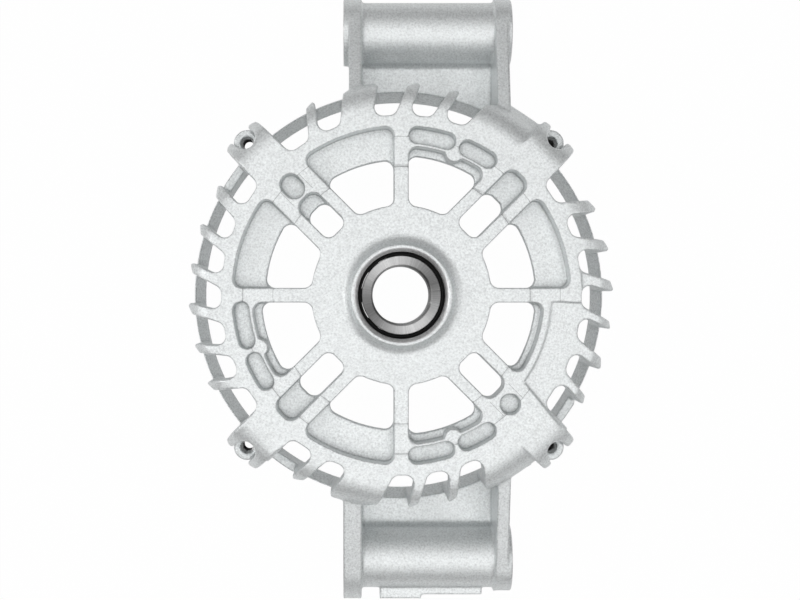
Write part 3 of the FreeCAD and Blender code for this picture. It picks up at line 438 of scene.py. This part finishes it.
def plainMetal(name):
    level, roughness, scale, cool = metals[name]
    material, nodes, links, output = newMaterial(name)
    shader = nodes.new("ShaderNodeBsdfPrincipled")
    shader.inputs["Metallic"].default_value = 1.0
    marks = noiseNode(nodes, links, scale, marksLook["detail"])
    greys = [grey(min(1.0, level * share), cool) for share in marksLook["levels"]]
    colour = rampNode(nodes, links, marks.outputs["Fac"], list(zip(marksLook["stops"], greys)))
    links.new(colour.outputs["Color"], shader.inputs["Base Color"])
    low, high = (roughness * share for share in marksLook["roughness"])
    rough = rangeNode(nodes, links, marks.outputs["Fac"], 0.0, 1.0, low, high)
    links.new(rough, shader.inputs["Roughness"])
    bumpNode(nodes, links, shader, marks.outputs["Fac"], marksLook["bump"], marksLook["depth"])
    links.new(shader.outputs[0], output.inputs["Surface"])
    return material


rubberLook = {
    "levels": (0.004, 0.010), "stops": (0.35, 0.65),
    "mottle": 1500.0,
    "roughness": (0.45, 0.65), "shine": 0.20,
    "bump": 0.2, "depth": 0.05 * mm,
}


def rubberMaterial():
    material, nodes, links, output = newMaterial("sealRubber")
    shader = nodes.new("ShaderNodeBsdfPrincipled")
    shader.inputs["Specular IOR Level"].default_value = rubberLook["shine"]
    mottle = noiseNode(nodes, links, rubberLook["mottle"])
    greys = [grey(level) for level in rubberLook["levels"]]
    colour = rampNode(nodes, links, mottle.outputs["Fac"], list(zip(rubberLook["stops"], greys)))
    links.new(colour.outputs["Color"], shader.inputs["Base Color"])
    rough = rangeNode(nodes, links, mottle.outputs["Fac"], 0.0, 1.0, *rubberLook["roughness"])
    links.new(rough, shader.inputs["Roughness"])
    bumpNode(nodes, links, shader, mottle.outputs["Fac"], rubberLook["bump"], rubberLook["depth"])
    links.new(shader.outputs[0], output.inputs["Surface"])
    return material


# the casting: the solid's edges are rounded as a die casting's are

casting = {
    "voxel": 0.33 * mm,
    "smoothing": 4,
    "triangles": 195000,
    "lipRadius": 13.95 * mm,       # inside this the hub is machined
    "lipBase": 30.0 * mm,
    "rearFace": 0.25 * mm,
    "registerRadius": 62.2 * mm,
    "registerDepth": 3.2 * mm,
    "bossEnds": (-17.2 * mm, 34.3 * mm), "bossFrom": 65.0 * mm, "bossSkin": 0.2 * mm,
    "earAngles": (45.0, 135.0, 225.0, 315.0),
    "hornStart": 64.0 * mm, "hornFull": 66.5 * mm, "hornBase": 12.6 * mm, "hornHalf": 8.0 * mm,
    "hornSmoothing": 70,
    "smoothFactor": 0.5,
    "normalWeight": 60,
}


def isMachined(place):
    distance = math.hypot(place.x, place.y)
    if distance < casting["lipRadius"] and place.z > casting["lipBase"]:
        return True
    if place.z < casting["rearFace"]:
        return True
    if place.z < casting["registerDepth"] and distance < casting["registerRadius"]:
        return True
    offEnd = min(abs(place.x - end) for end in casting["bossEnds"])
    return abs(place.y) > casting["bossFrom"] and offEnd < casting["bossSkin"]


def triangleCount(piece):
    return sum(len(face.vertices) - 2 for face in piece.data.polygons)


def roundHorns(piece):    # the two horns of each ear are blunt and round
    group = piece.vertex_groups.new(name="horns")
    start, half = casting["hornStart"], casting["hornHalf"]
    span = casting["hornFull"] - start
    for angle in casting["earAngles"]:
        cos, sin = math.cos(math.radians(angle)), math.sin(math.radians(angle))
        for vertex in piece.data.vertices:
            x, y, z = vertex.co
            along, across = x * cos + y * sin, y * cos - x * sin
            if along > start and z > casting["hornBase"] and abs(across) < half:
                group.add([vertex.index], min(1.0, (along - start) / span), "REPLACE")
    applyModifier(piece, "SMOOTH", factor=casting["smoothFactor"], iterations=casting["hornSmoothing"],
                  vertex_group="horns")


def makeCasting(castAlloy, machined):
    piece = copyOfNode("drive_end_bracket", "bracketCasting")
    applyModifier(piece, "REMESH", mode="VOXEL", voxel_size=casting["voxel"], use_smooth_shade=True)
    print("remeshed: %d faces" % len(piece.data.polygons))
    applyModifier(piece, "SMOOTH", factor=casting["smoothFactor"], iterations=casting["smoothing"])
    roundHorns(piece)
    count = triangleCount(piece)
    if count > casting["triangles"]:
        applyModifier(piece, "DECIMATE", ratio=casting["triangles"] / count)
    makeActive(piece)
    bpy.ops.object.shade_smooth()
    piece.data.materials.append(castAlloy)
    piece.data.materials.append(machined)
    for face in piece.data.polygons:
        if isMachined(face.center):
            face.material_index = 1
    applyModifier(piece, "WEIGHTED_NORMAL", weight=casting["normalWeight"])
    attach(piece, "bracket")
    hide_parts("drive_end_bracket")
    print("casting surface: %d triangles" % triangleCount(piece))


sealLip = {
    "radius": 12.28 * mm, "thickness": 0.30 * mm,
    "segments": 128, "rings": 16,
    "heights": {"frontSealLip": 36.02 * mm, "rearSealLip": 24.98 * mm},
}


def makeSealLips(material):
    for name, height in sealLip["heights"].items():
        selectNothing()
        bpy.ops.mesh.primitive_torus_add(
            major_radius=sealLip["radius"], minor_radius=sealLip["thickness"],
            major_segments=sealLip["segments"], minor_segments=sealLip["rings"])
        piece = bpy.context.object
        piece.name = name
        bpy.ops.object.mode_set(mode="EDIT")
        bpy.ops.mesh.select_all(action="SELECT")
        bpy.ops.transform.translate(value=(0, 0, height))
        bpy.ops.object.mode_set(mode="OBJECT")
        bpy.ops.object.shade_smooth()
        piece.data.materials.append(material)
        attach(piece, "bracket")
    print("seal lips made")


earThread = {
    "circle": 66.6 * mm,        # the four tapped holes stand on this radius
    "ridge": 2.02 * mm,         # middle of the ridge's section, off the hole's axis
    "ridgeSize": 0.40 * mm,
    "pitch": 0.70 * mm, "turns": 16, "segments": 32,
    "start": 0.40 * mm,
    "smoothUnder": math.radians(30),
}


def makeEarThreads(material):
    for number, angle in enumerate(casting["earAngles"], 1):
        selectNothing()
        bpy.ops.mesh.primitive_circle_add(
            vertices=3, radius=earThread["ridgeSize"], fill_type="NOTHING",
            location=(earThread["ridge"], 0, earThread["start"]),
            rotation=(math.radians(90), math.radians(-90), 0))
        piece = bpy.context.object
        piece.name = "earThread%d" % number
        bpy.ops.object.transform_apply(location=True, rotation=True, scale=True)
        segments = earThread["segments"]
        applyModifier(piece, "SCREW", axis="Z", screw_offset=earThread["pitch"],
                      iterations=earThread["turns"], steps=segments, render_steps=segments)
        bpy.ops.object.mode_set(mode="EDIT")
        bpy.ops.mesh.select_all(action="SELECT")
        bpy.ops.mesh.fill_holes(sides=3)
        bpy.ops.mesh.select_all(action="SELECT")
        bpy.ops.mesh.normals_make_consistent(inside=False)
        turn = math.radians(angle)
        place = (earThread["circle"] * math.cos(turn), earThread["circle"] * math.sin(turn), 0)
        bpy.ops.transform.translate(value=place)
        bpy.ops.object.mode_set(mode="OBJECT")
        bpy.ops.object.shade_smooth_by_angle(angle=earThread["smoothUnder"])
        piece.data.materials.append(material)
        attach(piece, "bracket")
    print("threads cut in %d ears" % len(casting["earAngles"]))


edgeBreaks = {
    "bearing_inner_ring": 0.12 * mm, "bearing_outer_ring": 0.12 * mm,
    "bearing_retainer_plate": 0.25 * mm, "retainer_screws": 0.25 * mm,
}
breakLook = {"segments": 2, "overAngle": math.radians(35)}


def breakEdges():
    for name, width in edgeBreaks.items():
        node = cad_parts[name]
        node.modifiers.new("joinedCorners", "WELD").merge_threshold = sameCorner
        bevel = node.modifiers.new("brokenEdge", "BEVEL")
        bevel.width = width
        bevel.segments = breakLook["segments"]
        bevel.limit_method = "ANGLE"
        bevel.angle_limit = breakLook["overAngle"]
        bevel.harden_normals = True
    print("edges broken on %d steel parts" % len(edgeBreaks))


def dressNodes(looks):
    for name, material in looks.items():
        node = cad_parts[name]
        node.data.materials.clear()
        node.data.materials.append(material)


placeCamera()
placeStage()
placeLights()
rubber = rubberMaterial()
makeCasting(castMaterial(), plainMetal("machinedAluminium"))
makeSealLips(rubber)
makeEarThreads(plainMetal("shadedTappedThread"))
breakEdges()
groundSteel, cageSteel = turnedSteel("groundSteel"), plainMetal("cageSteel")
platedSteel, ballSteel = plainMetal("platedSteel"), plainMetal("ballSteel")
looks = {
    "bearing_outer_ring": groundSteel, "bearing_inner_ring": groundSteel,
    "bearing_front_seal": rubber, "bearing_rear_seal": rubber,
    "bearing_retainer_plate": platedSteel, "retainer_screws": platedSteel,
    "cage_front": cageSteel, "cage_rear": cageSteel, "cage_rivets": cageSteel,
}
looks.update({"ball_%d" % number: ballSteel for number in range(1, 9)})
dressNodes(looks)

bpy.context.scene.view_settings.view_transform = "Standard"
